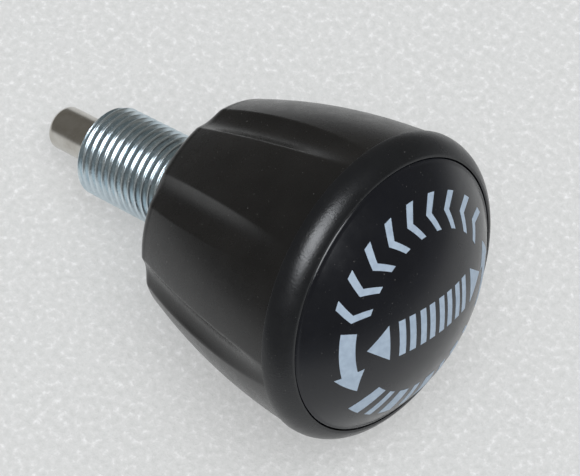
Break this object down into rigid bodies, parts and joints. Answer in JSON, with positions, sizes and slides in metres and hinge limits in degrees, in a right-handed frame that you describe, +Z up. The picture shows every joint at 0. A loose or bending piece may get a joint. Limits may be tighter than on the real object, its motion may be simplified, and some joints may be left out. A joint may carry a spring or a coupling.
{
  "type": "spring-loaded pull pin with knob",
  "caption": "Spring-loaded pull pin: a steel plunger in a threaded barrel, drawn back by a tapered fluted knob with a rounded bezel and a domed cap.",
  "frame": {"origin": "on the axis of the pin, in the plane of the threaded barrel's front end face, where the pin comes out", "axes": "+X along the axis of the pin, out through the knob's domed cap, the way the knob is pulled; +Z up; +Y to the left of someone looking along +X"},
  "size_m": [0.0832, 0.0518, 0.0518],
  "materials": {
    "zinc_plate": "bright zinc plate",
    "pin_steel": "ground steel, slightly darkened",
    "spring_steel": "oiled spring wire",
    "bronze": "sintered bronze",
    "insert_metal": "die cast, dull",
    "knob_plastic": "satin moulded, fine texture",
    "bezel_plastic": "satin moulded",
    "cap_plastic": "satin moulded, printed marks",
    "fastener_zinc": "zinc plate",
    "nylon": "pale nylon"
  },
  "bodies": {
    "barrel_unit": {"threaded_barrel": "zinc_plate", "guide_bush": "bronze", "bush_snap_ring": "spring_steel", "plunger_spring": "spring_steel"},
    "knob_unit": {"plunger_pin": "pin_steel", "drive_insert": "insert_metal", "knob_body": "knob_plastic", "bezel_ring": "bezel_plastic", "bezel_screws": "fastener_zinc", "dome_cap": "cap_plastic", "flat_washer": "fastener_zinc", "lock_nut": "fastener_zinc", "lock_nut_insert": "nylon"}
  },
  "joints": [
    {"name": "pull", "type": "slide", "parent": "barrel_unit", "child": "knob_unit", "axis": [1, 0, 0], "range_m": [0, 0.011], "stiffness_N_per_m": 3750, "springref_m": -0.003, "deforming": ["plunger_spring"]}
  ]
}
